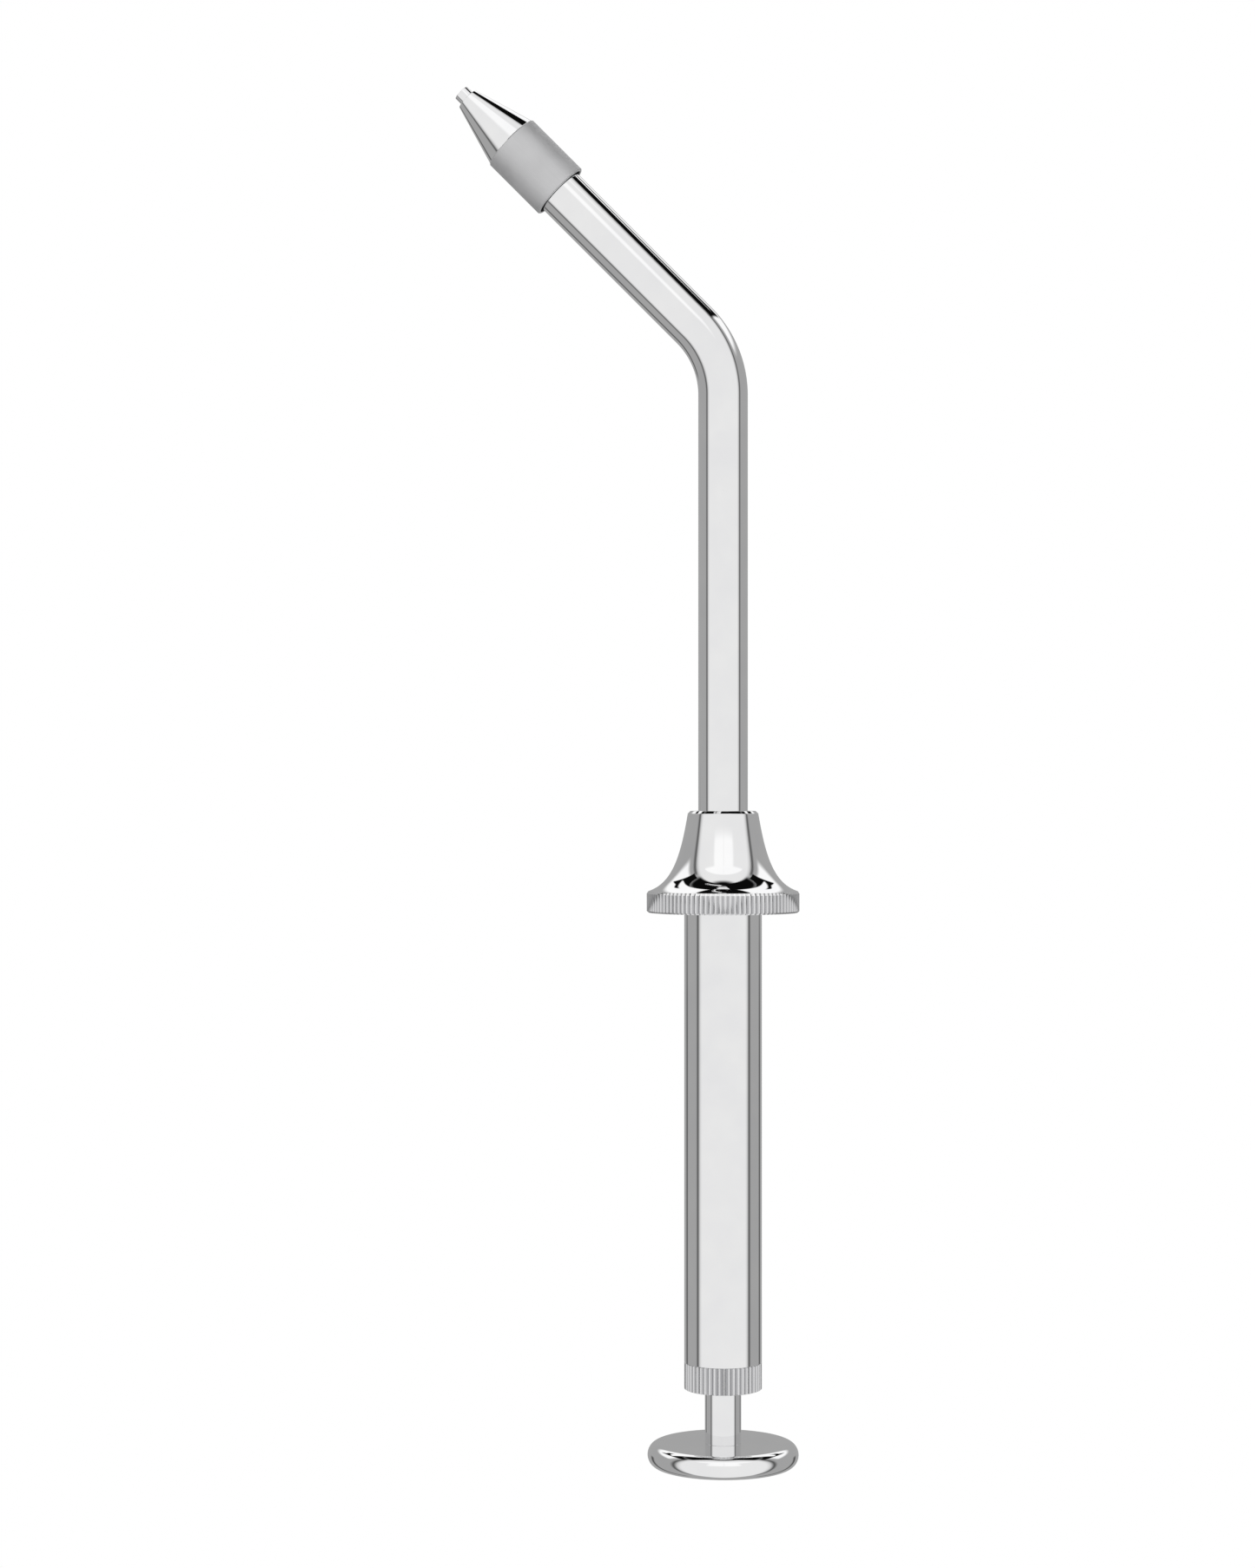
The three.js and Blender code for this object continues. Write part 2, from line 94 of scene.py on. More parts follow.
# The flexible shaft's rear and front lengths, from end to end along the tube's line.
REAR = (ROD_SOCKET + 0.1, BEND_BASE - 0.1)
FRONT = (ARM + 0.1, ARM + 16.7)
SHARP = 32  # degrees between two faces from which their edge shades sharp

# ---------------------------------------------------------------- profiles


def run(radius, low, high, step=0.08):
    """Points up a wall of one radius, evenly spaced, close enough together to carry a thread."""
    count = max(2, int(round(abs(high - low) / step)) + 1)
    return [(radius, z) for z in np.linspace(low, high, count)]


def profile(*corners):
    """The outline of a turned piece as an array of (radius, height, finish) rows. A corner is (radius, height),
    with a rounding and the finish of the run that follows it where it has them. A rounded corner is an arc that
    is tangent to both runs, with a point just outside each end so that the shading of the flat runs stays flat."""
    filled = [tuple(c) + (0, 0)[len(c) - 2 :] for c in corners]
    points = np.array([c[:2] for c in filled], float)
    rows = []
    for i, (r, z, rounding, finish) in enumerate(filled):
        before = filled[i - 1][3]
        if rounding == 0:
            rows.append((r, z, finish))
            continue
        here, back, on = points[i], points[i - 1], points[(i + 1) % len(points)]
        u, v = here - back, on - here
        u, v = u / np.linalg.norm(u), v / np.linalg.norm(v)
        turn = math.atan2(u[0] * v[1] - u[1] * v[0], u @ v)
        reach = rounding * math.tan(abs(turn) / 2)
        normal = np.sign(turn) * np.array([-u[1], u[0]])
        centre = here - reach * u + rounding * normal
        steps = max(4, int(abs(turn) / 0.2))
        angle = np.linspace(0, turn, steps + 1)
        arm = -rounding * normal
        x = centre[0] + arm[0] * np.cos(angle) - arm[1] * np.sin(angle)
        y = centre[1] + arm[0] * np.sin(angle) + arm[1] * np.cos(angle)
        hold = min(0.03, 0.4 * rounding)
        lead, tail = here - (reach + hold) * u, here + (reach + hold) * v
        rows.append((*lead, before))
        rows += [(a, b, before) for a, b in zip(x[:-1], y[:-1])]
        rows.append((x[-1], y[-1], finish))
        rows.append((*tail, finish))
    rows = np.array(rows)
    nxt = np.roll(rows, -1, 0)
    area = (rows[:, 0] * nxt[:, 1] - nxt[:, 0] * rows[:, 1]).sum()
    if area < 0:  # drawn clockwise: walked the other way, each run keeps its finish
        rows = np.column_stack([rows[::-1, :2], np.roll(rows[::-1, 2], -1)])
    return rows


def ring(outer, inner, low, high, edge):
    """A ring's outline: outer and inner diameter between two heights, with four small rounded edges."""
    r, bore = outer / 2, inner / 2
    return profile((bore, low, edge), (r, low, edge), (r, high, edge), (bore, high, edge))


def even_angles(count):
    """Angles evenly spaced round the axis."""
    return np.linspace(0, 2 * np.pi, count, endpoint=False)


def tooth_angles(teeth, shares):
    """Angles round a toothed piece: the same few shares of the pitch in every tooth."""
    pitch = 2 * np.pi / teeth
    return (np.arange(teeth)[:, None] * pitch + np.array(shares)[None, :] * pitch).ravel()


# ---------------------------------------------------------------- shapes carved into a turned wall


def groove(angle, teeth, crest, root):
    """The straight knurl's section, 0 on a crest and 1 in a root: flat for the crest's share of the pitch, then
    straight down to the root's share and up again."""
    phase = np.abs(((angle * teeth / (2 * np.pi) + 0.5) % 1) - 0.5) * 2
    return np.clip((phase - crest) / (1 - crest - root), 0, 1)


def knurl(teeth, depth, low, high, inner, crest=0.12, root=0.12):
    """A straight knurl: inside the height range, and outside the inner radius, the radius drops by the depth
    times the groove's section."""

    def carve(r, z, a):
        inside = (z >= low - 1e-6) & (z <= high + 1e-6) & (r > inner)
        return np.where(inside, r - depth * groove(a, teeth, crest, root), r)

    return carve


def thread(radius, low, high, depth, pitch=THREAD_PITCH):
    """A single-start V thread: where the wall has that radius, the radius changes by the depth times a rounded
    saw wave of (height / pitch - turn), which fades out over half a pitch at both ends."""

    def carve(r, z, a):
        on_wall = (np.abs(r - radius) < 1e-3) & (z > low) & (z < high)
        wave = 0.5 - 0.5 * np.cos(2 * np.pi * (z / pitch - a / (2 * np.pi)))
        fade = np.clip(np.minimum(z - low, high - z) / (0.5 * pitch), 0, 1)
        return np.where(on_wall, r + depth * fade * wave, r)

    return carve


def both(*carves):
    """One carving after another."""

    def carve(r, z, a):
        for one in carves:
            r = one(r, z, a)
        return r

    return carve


# ---------------------------------------------------------------- from an outline to a piece


def along_tube(p):
    """Carries straight points round the tube's bend. Up to the bend nothing moves; in it a point at x turns on a
    circle of radius BEND_R + x about the bend's centre; past it the rest of the height runs on along the arm."""
    x, y, s = p[..., 0], p[..., 1], p[..., 2]
    turn = np.clip((s - BEND_BASE) / BEND_R, 0, BEND_ANGLE)
    past = np.maximum(s - ARM, 0)
    before = np.minimum(s, BEND_BASE)
    c, n = np.cos(turn), np.sin(turn)
    bent_x = (BEND_R + x) * c - BEND_R - past * n
    return np.stack([bent_x, y, before + (BEND_R + x) * n + past * c], -1)


def along_y(z):
    """Lays a straight piece along Y at a height."""
    return lambda p: np.stack([p[..., 0], -p[..., 2], p[..., 1] + z], -1)


def towards_minus_x(z):
    """Lays a straight piece along -X at a height."""
    return lambda p: np.stack([-p[..., 2], p[..., 1], p[..., 0] + z], -1)


def make_mesh(name, straight, depth, place, rows_close, finish, materials, sharp=SHARP):
    """A mesh from a grid of straight points (rows along the outline, columns round the axis). Columns close on
    themselves, and so do the rows of a loop. A row gathered in one point is one vertex with a fan round it. The
    straight place of each vertex is kept as the attribute "lay", which the turning and polishing marks follow, and
    how deep it was carved, 0 to 1, as the attribute "root"."""
    rows, cols = straight.shape[:2]
    on_axis = np.ptp(straight, axis=1).max(1) < 1e-9
    sizes = np.where(on_axis, 1, cols)
    first = np.concatenate([[0], np.cumsum(sizes)[:-1]])
    j = np.arange(cols)
    index = first[:, None] + np.where(on_axis[:, None], 0, j[None, :])
    kept = np.concatenate([straight[i, :1] if on_axis[i] else straight[i] for i in range(rows)])
    deep = np.concatenate([depth[i, :1] if on_axis[i] else depth[i] for i in range(rows)])
    lower = np.arange(rows if rows_close else rows - 1)
    upper = (lower + 1) % rows
    a, b = index[lower], index[upper]
    a1, b1 = np.roll(a, -1, 1), np.roll(b, -1, 1)
    full = ~(on_axis[lower] | on_axis[upper])
    quads = np.stack([a, a1, b1, b], -1)[full].reshape(-1, 4)
    low_fan = on_axis[lower] & ~on_axis[upper]
    high_fan = ~on_axis[lower] & on_axis[upper]
    fans = np.concatenate(
        [
            np.stack([a, b1, b], -1)[low_fan].reshape(-1, 3),
            np.stack([a, a1, b], -1)[high_fan].reshape(-1, 3),
        ]
    )
    tags = np.concatenate(
        [
            np.repeat(finish[lower[full]], cols),
            np.repeat(finish[lower[low_fan]], cols),
            np.repeat(finish[lower[high_fan]], cols),
        ]
    )
    mesh = bpy.data.meshes.new(name)
    mesh.from_pydata((place(kept) * MM).tolist(), [], quads.tolist() + fans.tolist())
    lay = mesh.attributes.new("lay", "FLOAT_VECTOR", "POINT")
    lay.data.foreach_set("vector", kept.astype(np.float32).ravel())
    mesh.attributes.new("root", "FLOAT", "POINT").data.foreach_set("value", deep.astype(np.float32))
    for material in materials:
        mesh.materials.append(material)
    mesh.polygons.foreach_set("material_index", tags.astype(np.int32))
    mesh.polygons.foreach_set("use_smooth", np.ones(len(tags), bool))
    mesh.set_sharp_from_angle(angle=math.radians(sharp))
    mesh.update()
    piece = bpy.data.objects.new(name, mesh)
    bpy.context.scene.collection.objects.link(piece)
    return piece


def turn_piece(name, outline, materials, angles=128, carve=None, place=None, sharp=SHARP):
    """A turned piece: each outline point (r, h) goes round the axis as (r cos a, r sin a, h), with the radius
    carved first where the piece has a knurl or a thread."""
    angles = even_angles(angles) if isinstance(angles, int) else angles
    r, z, a = np.broadcast_arrays(outline[:, :1], outline[:, 1:2], angles[None, :])
    depth = np.zeros(r.shape)
    if carve is not None:
        carved = carve(r, z, a)
        depth = np.clip((r - carved) / KNURL_DEPTH, 0, 1)
        r = carved
    straight = np.stack([r * np.cos(a), r * np.sin(a), z], -1)
    closes = not (outline[0, 0] == 0 and outline[-1, 0] == 0)
    finish = outline[:, 2].astype(int)
    place = place or (lambda p: p)
    return make_mesh(name, straight, depth, place, closes, finish, materials, sharp)


def settle(piece, body, slot, *nodes):
    """The piece rides on its CAD body and stands for its CAD nodes. The slot is not used."""
    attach(piece, body)
    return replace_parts(piece, *nodes)


def drill(piece, direction, centre, diameter, start=-6, end=6):
    """Drills a round hole in a piece, along Y or X, with a cutter that is then thrown away."""
    rod = profile((0, start), (diameter / 2, start), (diameter / 2, end), (0, end))
    cutter = turn_piece("drill", rod, list(piece.data.materials), 32, place=direction(centre))
    hole = piece.modifiers.new("hole", "BOOLEAN")
    hole.object, hole.operation, hole.solver = cutter, "DIFFERENCE", "EXACT"
    bpy.context.view_layer.update()
    drilled = piece.evaluated_get(bpy.context.evaluated_depsgraph_get())
    mesh = bpy.data.meshes.new_from_object(drilled)
    mesh.set_sharp_from_angle(angle=math.radians(SHARP))
    piece.modifiers.clear()
    piece.data = mesh
    bpy.data.objects.remove(cutter)


# ---------------------------------------------------------------- materials


def linear(colour):
    """An sRGB hex colour as linear red, green, blue and alpha."""
    s = np.array([int(colour[i : i + 2], 16) for i in (1, 3, 5)]) / 255
    return (*np.where(s <= 0.04045, s / 12.92, ((s + 0.055) / 1.055) ** 2.4), 1.0)


def add(tree, kind, sockets=None, **settings):
    """Adds one node with its settings. A socket's value is a constant, or another node's output to link."""
    node = tree.nodes.new(kind)
    for name, value in settings.items():
        setattr(node, name, value)
    for name, value in (sockets or {}).items():
        if isinstance(value, bpy.types.NodeSocket):
            tree.links.new(value, node.inputs[name])
        else:
            node.inputs[name].default_value = value
    return node


def new_finish(name, **constants):
    """A material with a Principled shader whose constants are set on its own sockets."""
    material = bpy.data.materials.new(name)
    material.use_nodes = True
    tree = material.node_tree
    tree.nodes.clear()
    shader = add(tree, "ShaderNodeBsdfPrincipled", constants)
    add(tree, "ShaderNodeOutputMaterial", {"Surface": shader.outputs[0]})
    return material, tree, shader


def marks(tree, stretch, detail=3.0):
    """A noise on the piece's own straight places in millimetres, with this many grains in a millimetre each way."""
    lay = add(tree, "ShaderNodeAttribute", attribute_name="lay", attribute_type="GEOMETRY")
    at = add(tree, "ShaderNodeMapping", {"Vector": lay.outputs["Vector"], "Scale": stretch})
    settings = {"Vector": at.outputs[0], "Scale": 1.0, "Detail": detail, "Roughness": 0.55}
    return add(tree, "ShaderNodeTexNoise", settings).outputs[0]


def between(tree, factor, low, high, span=(0.3, 0.7)):
    """A number that goes from low to high as the factor goes over its span."""
    settings = {"Value": factor, "From Min": span[0], "From Max": span[1], "To Min": low, "To Max": high}
    return add(tree, "ShaderNodeMapRange", settings).outputs[0]


def blend(tree, factor, a, b):
    """A colour that goes from a to b as the factor goes from 0 to 1. Each is a linear colour or an output."""
    return add(tree, "ShaderNodeMix", {"Factor": factor, 6: a, 7: b}, data_type="RGBA").outputs[2]


def relief(tree, shader, height, depth):
    """A bump whose full height is the depth in millimetres."""
    bump = add(tree, "ShaderNodeBump", {"Height": height, "Distance": depth * MM, "Strength": 1.0})
    tree.links.new(bump.outputs[0], shader.inputs["Normal"])


def metal(name, dark, light, rough, lines, relief_mm, root=None):
    """Steel with lines that run round or along the piece, and a soft uneven gloss. Towards the roots of what is
    carved it can go over to a darker colour: painted shade, for the shade that falls deep in the grooves."""
    material, tree, shader = new_finish(name, Metallic=1.0)
    fine = marks(tree, lines)
    soft = marks(tree, (0.25, 0.25, 0.25), detail=2.0)
    uneven = add(tree, "ShaderNodeMath", {0: fine, 1: soft}, operation="MULTIPLY").outputs[0]
    colour = blend(tree, between(tree, soft, 0, 1), linear(dark), linear(light))
    if root:
        # painted shade: the colour goes darker towards the roots of the knurl, where shade falls in the grooves
        deep = add(tree, "ShaderNodeAttribute", attribute_name="root", attribute_type="GEOMETRY").outputs["Fac"]
        colour = blend(tree, between(tree, deep, 0, 1, span=(0.1, 0.7)), colour, linear(root))
    tree.links.new(colour, shader.inputs["Base Color"])
    tree.links.new(between(tree, uneven, *rough, span=(0.12, 0.42)), shader.inputs["Roughness"])
    relief(tree, shader, fine, relief_mm)
    return material


# Stainless steel, buffed to a mirror: sharp reflections, with buffing lines round the piece that only just
# break up the gloss. Real lines are some 0.02 mm apart; they are drawn at 0.2 mm so that they can be seen.
MIRROR = metal("buffed_stainless_steel", "#F1F1F2", "#F5F5F5", (0.01, 0.03), (0.12, 0.12, 5.0), 0.00006)
# Stainless steel as the knurling wheel leaves it: bright, but too worked to mirror. Lines run along the teeth, and
# the roots are painted darker: painted shade where shade falls in the grooves.
KNURLED = metal("knurled_stainless_steel", "#E4E4E5", "#ECECED", (0.2, 0.28), (3.0, 3.0, 0.3), 0.0004, "#BCBCBE")
# Stainless steel, glass-bead blasted over a very fine straight knurl: a matte grey with faint lines.
BLASTED = metal("bead_blasted_stainless_steel", "#CFCFD0", "#D8D8D9", (0.56, 0.64), (2.5, 2.5, 0.15), 0.0008)
# Stainless steel straight from the lathe: satin, with turning marks round the piece at a 0.1 mm feed.
TURNED = metal("lathe_turned_stainless_steel", "#D6D7D8", "#E4E5E6", (0.2, 0.34), (0.2, 0.2, 10.0), 0.003)
# Cold-drawn spring wire: a little darker than the machined steel, with a drawn sheen.
WIRE = metal("cold_drawn_spring_wire", "#C6C7C8", "#DADADB", (0.22, 0.36), (1.5, 1.5, 6.0), 0.002)


def machined_ptfe():
    """Machined PTFE: a waxy off-white that lets some light in, with shallow turning marks."""
    skin = {"Metallic": 0.0, "IOR": 1.35, "Subsurface Weight": 0.25, "Subsurface Scale": 0.4 * MM}
    material, tree, shader = new_finish("machined_ptfe", **skin)
    fine, soft = marks(tree, (0.3, 0.3, 9.0)), marks(tree, (0.8, 0.8, 0.8))
    colour = blend(tree, soft, linear("#E9E8E2"), linear("#F6F6F2"))
    tree.links.new(colour, shader.inputs["Base Color"])
    tree.links.new(between(tree, fine, 0.35, 0.55), shader.inputs["Roughness"])
    relief(tree, shader, fine, 0.004)
    return material


def moulded_nitrile():
    """Compression-moulded nitrile rubber: near black, dull, with a fine mould grain and a greyish bloom."""
    material, tree, shader = new_finish("moulded_nitrile_rubber", Metallic=0.0, IOR=1.52)
    grain, soft = marks(tree, (12.0, 12.0, 12.0)), marks(tree, (1.2, 1.2, 1.2))
    colour = blend(tree, soft, linear("#161618"), linear("#29292B"))
    tree.links.new(colour, shader.inputs["Base Color"])
    tree.links.new(between(tree, soft, 0.42, 0.62), shader.inputs["Roughness"])
    relief(tree, shader, grain, 0.006)
    return material


PTFE = machined_ptfe()
RUBBER = moulded_nitrile()

# ---------------------------------------------------------------- palm disc and plunger rod


def palm_disc():
    """A disc whose rim is half an ellipse, turned out of flat faces, with a tapped blind hole in its top."""
    a = np.linspace(-np.pi / 2, np.pi / 2, 37)
    flat = PALM_D / 2 - PALM_EDGE
    rim = [(flat + PALM_EDGE * math.cos(t), PALM_T / 2 * (1 + math.sin(t))) for t in a]
    hole = ROD_STUB_D / 2 + 0.05
    outline = profile(
        (0, 0), (flat - 0.06, 0), *rim, (flat - 0.06, PALM_T), (hole, PALM_T, 0, 1),
        *run(hole, PALM_T - 0.05, 0.8)[:-1], (hole, 0.8, 0, 1), (0, 0.8, 0, 1),
    )
    carve = thread(hole, 0.9, 2.7, 0.15, 0.5)
    return turn_piece("palm_disc_polished", outline, [MIRROR, TURNED], 192, carve)


def plunger_rod():
    """A drawn rod with a threaded stub that screws into the palm disc and a socket for the flexible shaft."""
    r, stub, socket = ROD_D / 2, ROD_STUB_D / 2, COIL_D / 2 + 0.05
    outline = profile(
        (0, 0.9, 0, 1), (stub - 0.15, 0.9, 0, 1), *run(stub, 1.05, PALM_T - 0.1), (stub, PALM_T, 0, 0),
        (r, PALM_T, 0.03), (r, 50), (r, 55), (r, 57.3), (r, ROD_TOP, 0.15, 1), (socket, ROD_TOP, 0.05, 1),
        (socket, ROD_SOCKET, 0, 1), (0, ROD_SOCKET - 0.9, 0, 1),
    )
    piece = turn_piece("plunger_rod_drawn", outline, [MIRROR, TURNED], 96, thread(stub, 1.0, 2.6, -0.15, 0.5))
    drill(piece, along_y, PIN_Z, PIN_HOLE_D)
    return piece


def guide_piston():
    """A piston with chamfered ends and a ring groove, bored for the rod and cross-drilled for the pin."""
    r, bore, groove_r, low, high = PISTON_D / 2, ON_ROD_BORE / 2, RING_GROOVE_D / 2, PISTON_BASE, PISTON_TOP
    outline = profile(
        (bore, low, 0.08), (r - 0.3, low), (r, low + 0.3), (r, RING_GROOVE_BASE, 0.05),
        (groove_r, RING_GROOVE_BASE, 0.1), (groove_r, RING_GROOVE_TOP, 0.1), (r, RING_GROOVE_TOP, 0.05),
        (r, high - 0.3), (r - 0.3, high), (bore, high, 0.08),
    )
    piece = turn_piece("guide_piston_turned", outline, [TURNED], 96)
    drill(piece, along_y, PIN_Z, PIN_HOLE_D)
    return piece


def moulded_ring(name, middle, thickness, height):
    """A moulded ring: a round section, with the thin flash line that the mould leaves round its equator."""
    t = even_angles(32)
    bulge = 1 + 0.03 * np.exp(-((np.sin(t) / 0.12) ** 2))
    r = middle / 2 + thickness / 2 / 1.03 * bulge * np.cos(t)
    z = height + thickness / 2 / 1.03 * bulge * np.sin(t)
    return turn_piece(name, np.column_stack([r, z, np.zeros(32)]), [RUBBER], 96)


def shaft_pin():
    """A dowel pin with chamfered ends, laid along Y."""
    r, half = PIN_D / 2, 3.55
    flat, side = r - 0.12, half - 0.15
    outline = profile((0, -half), (flat, -half), (r, -side), (r, side), (flat, half), (0, half))
    return turn_piece("shaft_pin_ground", outline, [TURNED], 40, place=along_y(PIN_Z))


def stop_collar():
    """The stop collar, with chamfered edges, tapped from the side for its grub screw."""
    r, bore, low, high = STOP_COLLAR_D / 2, ON_ROD_BORE / 2, STOP_COLLAR_BASE, STOP_COLLAR_TOP
    outline = profile(
        (bore, low, 0.08), (r - 0.25, low), (r, low + 0.25), (r, high - 0.25), (r - 0.25, high), (bore, high, 0.08)
    )
    piece = turn_piece("stop_collar_turned", outline, [TURNED], 96)
    drill(piece, towards_minus_x, SCREW_Z, SCREW_TAP_D, start=0)
    return piece


def collar_screw():
    """A grub screw with a fine thread, a cone point and a hexagon socket: in the socket the radius is the
    hexagon's own, half its width over the cosine of the angle from the nearest flat's middle."""
    outline = profile(
        (0, 2.25), (0.3, 2.25), (0.7, 2.5), *run(0.8, 2.55, 3.22), (0.72, 3.3), (0.42, 3.3), (0.42, 2.75), (0, 2.65)
    )

    def hexagon(r, z, a):
        from_flat = (a + np.pi / 6) % (np.pi / 3) - np.pi / 6
        return np.where((np.abs(r - 0.42) < 1e-6) & (z > 2.7), 0.38 / np.cos(from_flat), r)

    carve = both(thread(0.8, 2.5, 3.25, -0.1, 0.35), hexagon)
    return turn_piece("collar_screw_threaded", outline, [TURNED], 48, carve, towards_minus_x(SCREW_Z))


# ---------------------------------------------------------------- end cap


def end_cap():
    """A cap with a straight-knurled grip and a threaded spigot, bored for the rod and pocketed for its bush."""
    r, root = BARREL_D / 2, BARREL_D / 2 - KNURL_DEPTH
    spigot = THREAD_D / 2 - 0.05
    outline = profile(
        (2.3, CAP_BASE, 0.1), (root - 0.12, CAP_BASE, 0, 1), (r, CAP_BASE + 0.1, 0, 1), (r, CAP_TOP - 0.06, 0, 1),
        (r - 0.06, CAP_TOP, 0, 0), (spigot, CAP_TOP, 0, 2), *[(*p, 0, 2) for p in run(spigot, CAP_TOP + 0.03, 15.9)],
        (spigot - 0.3, SPIGOT_TOP, 0, 2), (3.0, SPIGOT_TOP, 0.08, 2), (3.0, 10.5, 0.1, 2), (2.3, 10.5, 0.1, 2),
    )
    carve = both(
        knurl(CAP_TEETH, KNURL_DEPTH, CAP_BASE + 0.05, CAP_TOP, 4.2),
        thread(spigot, CAP_TOP + 0.3, 15.9, -0.3),
    )
    angles = tooth_angles(CAP_TEETH, [-0.06, 0, 0.06, 0.25, 0.44, 0.5, 0.56, 0.75])
    return turn_piece("end_cap_knurled", outline, [MIRROR, KNURLED, TURNED], angles, carve)


# ---------------------------------------------------------------- barrel and finger flange


def barrel():
    """A plain polished tube, tapped at both ends."""
    r, bore, tap = BARREL_D / 2, BARREL_BORE / 2, THREAD_D / 2
    outline = profile(
        (tap, BARREL_BASE, 0.06), (r, BARREL_BASE, 0.04), (r, BARREL_TOP, 0.06, 1), (tap, BARREL_TOP, 0.06, 1),
        *[(*p, 0, 1) for p in run(tap, BARREL_TOP - 0.2, BARREL_TOP - THREAD_L)],
        (bore, BARREL_TOP - THREAD_L, 0, 1), (bore, BARREL_BASE + THREAD_L, 0, 1),
        *[(*p, 0, 1) for p in run(tap, BARREL_BASE + THREAD_L, BARREL_BASE + 0.2)],
    )
    carve = both(
        thread(tap, BARREL_TOP - THREAD_L, BARREL_TOP - 0.25, 0.28),
        thread(tap, BARREL_BASE + 0.25, BARREL_BASE + THREAD_L, 0.28),
    )
    return turn_piece("barrel_polished", outline, [MIRROR, TURNED], 144, carve)


def trumpet(count):
    """The trumpet's side: a cubic curve in radius and height with four control points, from the rim to the top."""
    t = np.linspace(0, 1, count)[:, None]
    p = np.array([(9.06, 0.27), (6.23, 1.20), (5.18, 4.31), (4.29, 9.60)])  # radius, height above the rim
    q = (1 - t) ** 3 * p[0] + 3 * (1 - t) ** 2 * t * p[1] + 3 * (1 - t) * t**2 * p[2] + t**3 * p[3]
    return [(r, RIM_TOP + h) for r, h in q]


def finger_flange():
    """A flange with a straight-knurled rim, a trumpet that sweeps up to the tube, a seat for the barrel's end
    and a threaded spigot inside the barrel."""
    r, spigot, seat, hole = RIM_D / 2, THREAD_D / 2 - 0.05, BARREL_D / 2 + 0.01, TUBE_D / 2 + 0.01
    outline = profile(
        (hole, FLANGE_FOOT, 0.08, 2), (spigot - 0.3, FLANGE_FOOT, 0, 2),
        *[(*p, 0, 2) for p in run(spigot, FLANGE_FOOT + 0.3, BARREL_TOP + 0.05)], (spigot, 67.6, 0, 2),
        (seat, 67.6, 0, 0), (seat, RIM_BASE, 0.04), (r - KNURL_DEPTH - 0.02, RIM_BASE, 0, 1),
        (r, RIM_BASE + 0.2, 0, 1), (r, RIM_TOP - 0.02, 0, 0),
        *trumpet(60), (4.277, FLARE_TOP - 0.32, 0.08), (3.95, FLARE_TOP, 0.08), (hole, FLARE_TOP, 0.03),
    )
    carve = both(
        knurl(RIM_TEETH, KNURL_DEPTH, RIM_BASE + 0.03, RIM_TOP, 9.15),
        thread(spigot, FLANGE_FOOT + 0.3, BARREL_TOP - 0.1, -0.3),
    )
    angles = tooth_angles(RIM_TEETH, [-0.06, 0.06, 0.44, 0.56])
    return turn_piece("finger_flange_trumpet", outline, [MIRROR, KNURLED, TURNED], angles, carve)


# ---------------------------------------------------------------- delivery tube, liner and inner rings


def bend_run(radius, low, high, step=0.25):
    """Points along a tube wall between two places on the tube's line, close together only in the bend."""
    inside = np.linspace(BEND_BASE, ARM, int(BEND_R * BEND_ANGLE / step) + 1)
    places = np.concatenate([[low], inside if low < high else inside[::-1], [high]])
    kept = places[(places >= min(low, high)) & (places <= max(low, high))]
    return [(radius, s) for s in kept]


def curved_tube():
    """The delivery tube: a drawn tube, threaded outside at its front end, carried round its bend."""
    r, bore, tip = TUBE_D / 2, TUBE_BORE / 2, ARM + TUBE_TIP
    threads = run(r, ARM + SKIRT_TOP, tip - 0.15)
    outline = profile(
        (bore, TUBE_FOOT, 0.05, 1), (r, TUBE_FOOT, 0.05, 0),
        *[(*p, 0, 0) for p in bend_run(r, 62, ARM + SKIRT_TOP - 0.1)],
        *[(*p, 0, 1) for p in threads], (r - 0.15, tip, 0, 1), (bore, tip, 0.05, 1),
        *[(*p, 0, 1) for p in bend_run(bore, tip - 0.5, 62)],
    )
    carve = thread(r, ARM + SKIRT_TOP, tip - 0.1, -0.25, 0.5)
    return turn_piece("delivery_tube_bent", outline, [MIRROR, TURNED], 112, carve, along_tube)


def guide_liner():
    """A PTFE liner inside the straight run and the bend."""
    r, bore, end = LINER_D / 2, LINER_BORE / 2, LINER_END
    outline = profile(
        (bore, TUBE_FOOT, 0.05), (r, TUBE_FOOT, 0.05), *bend_run(r, 62, end - 0.2), (r, end, 0.05),
        (bore, end, 0.05), *bend_run(bore, end - 0.2, 62),
    )
    return turn_piece("guide_liner_drawn", outline, [PTFE], 48, place=along_tube)


def tube_ferrule():
    """The ring that keeps the tube in the flange, with two shallow V grooves where it is crimped on."""
    r, bore, low, high = TUBE_FERRULE_D / 2, TUBE_D / 2 + 0.05, TUBE_FOOT, TUBE_FERRULE_TOP
    dents = [(r - drop, low + 0.45 + at) for at in (0, 0.7) for drop, at in ((0, at - 0.1), (0.08, at), (0, at + 0.1))]
    outline = profile((bore, low, 0.08), (r, low, 0.1), *dents, (r, high, 0.1), (bore, high, 0.08))
    return turn_piece("tube_ferrule_turned", outline, [TURNED], 96)


# ---------------------------------------------------------------- flexible shaft


